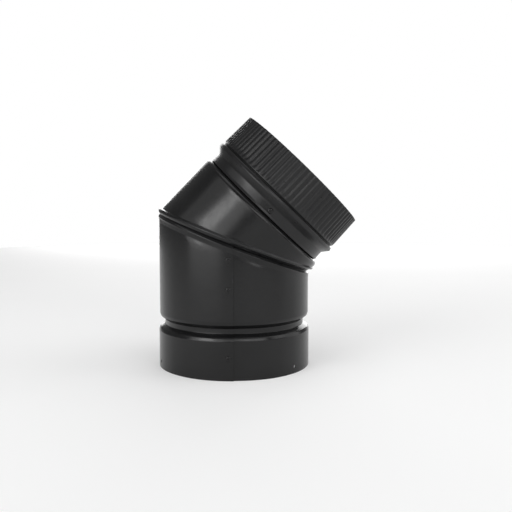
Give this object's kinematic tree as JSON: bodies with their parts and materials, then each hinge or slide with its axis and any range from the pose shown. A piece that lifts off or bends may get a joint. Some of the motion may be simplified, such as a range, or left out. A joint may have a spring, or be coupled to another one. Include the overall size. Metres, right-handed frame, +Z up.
{
  "type": "flue elbow",
  "caption": "Fixed 45 degree stove pipe elbow of black sheet steel, with a socket behind a stop groove and a crimped male end.",
  "frame": {"origin": "bottom centre of the elbow's box, on the plane of the socket rim; the socket's axis is at x = -0.02250 m, y = 0", "axes": "+Z up along the socket's axis, +X the way the elbow bends, Y across the bend plane"},
  "size_m": [0.2013, 0.1563, 0.2494],
  "materials": {
    "painted_sheet": "satin black stove paint on rolled sheet steel",
    "painted_collar": "satin black stove paint over the crimps",
    "painted_rivet": "satin black stove paint over the rivet heads"
  },
  "bodies": {
    "root": {"lower_gore": "painted_sheet", "upper_gore": "painted_sheet", "crimped_collar": "painted_collar", "lower_lap_rivet_1": "painted_rivet", "lower_lap_rivet_2": "painted_rivet", "lower_lap_rivet_3": "painted_rivet", "upper_lap_rivet_1": "painted_rivet", "upper_lap_rivet_2": "painted_rivet", "collar_rivet_1": "painted_rivet", "collar_rivet_2": "painted_rivet", "collar_rivet_3": "painted_rivet"}
  },
  "joints": []
}
